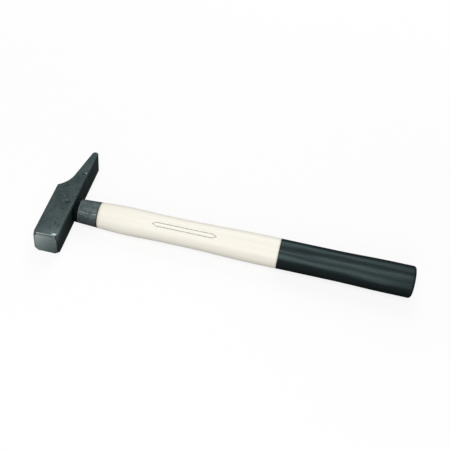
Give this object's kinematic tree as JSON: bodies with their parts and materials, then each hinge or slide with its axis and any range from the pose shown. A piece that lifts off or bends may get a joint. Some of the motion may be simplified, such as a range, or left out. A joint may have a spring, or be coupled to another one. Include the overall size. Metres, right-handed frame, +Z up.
{
  "type": "joiner's hammer",
  "caption": "Joiner's hammer: a square-faced forged head with a thin cross pein in line with its underside, wedged on a turned wooden handle with a steel collar and a black grip.",
  "frame": {"origin": "centre of the square striking face; the hammer lies on its cheek", "axes": "+Y from the striking face to the pein, +X from the head along the handle to the butt, +Z up out of the upper cheek"},
  "size_m": [0.2945, 0.1029, 0.0256],
  "materials": {
    "forged_steel": "grey forged and shot-blasted, satin",
    "pale_wood": "pale varnished ash",
    "satin_steel": "satin",
    "black_plastic": "gloss",
    "wedge_wood": "bare, sawn flush",
    "black_grip": "satin dip"
  },
  "bodies": {
    "root": {"head": "forged_steel", "handle": "pale_wood", "collar": "satin_steel", "neck_ring": "black_plastic", "wood_wedge": "wedge_wood", "steel_wedge": "forged_steel", "grip": "black_grip"}
  },
  "joints": []
}
